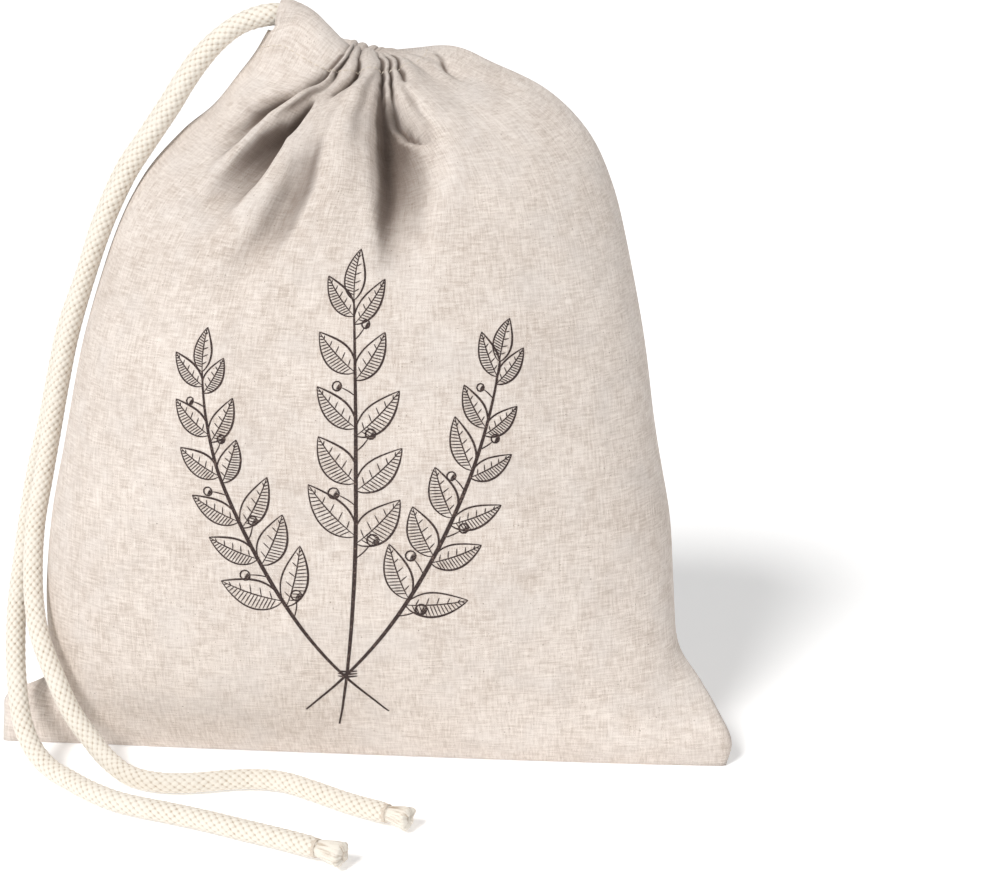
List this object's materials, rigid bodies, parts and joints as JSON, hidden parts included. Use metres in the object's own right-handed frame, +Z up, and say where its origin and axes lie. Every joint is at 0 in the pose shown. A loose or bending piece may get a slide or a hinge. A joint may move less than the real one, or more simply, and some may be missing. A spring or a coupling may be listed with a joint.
{
  "type": "drawstring bag",
  "caption": "Filled linen bread bag standing on its base, its mouth gathered by a braided cotton drawstring whose free ends hang down one side to the floor.",
  "frame": {"origin": "middle of the bag's base, on the surface it stands on, measured without the free ends of the cord", "axes": "+X across the bag, away from the seam the cord comes out of; the front panel faces -Y; +Z up"},
  "size_m": [0.281, 0.1919, 0.28],
  "materials": {
    "linen": "matte woven",
    "cotton": "matte braided"
  },
  "bodies": {
    "root": {"bag_body": "linen", "cord_loop": "cotton", "cord_front_tail": "cotton", "cord_rear_tail": "cotton", "cord_front_tuft": "cotton", "cord_rear_tuft": "cotton"}
  },
  "joints": []
}
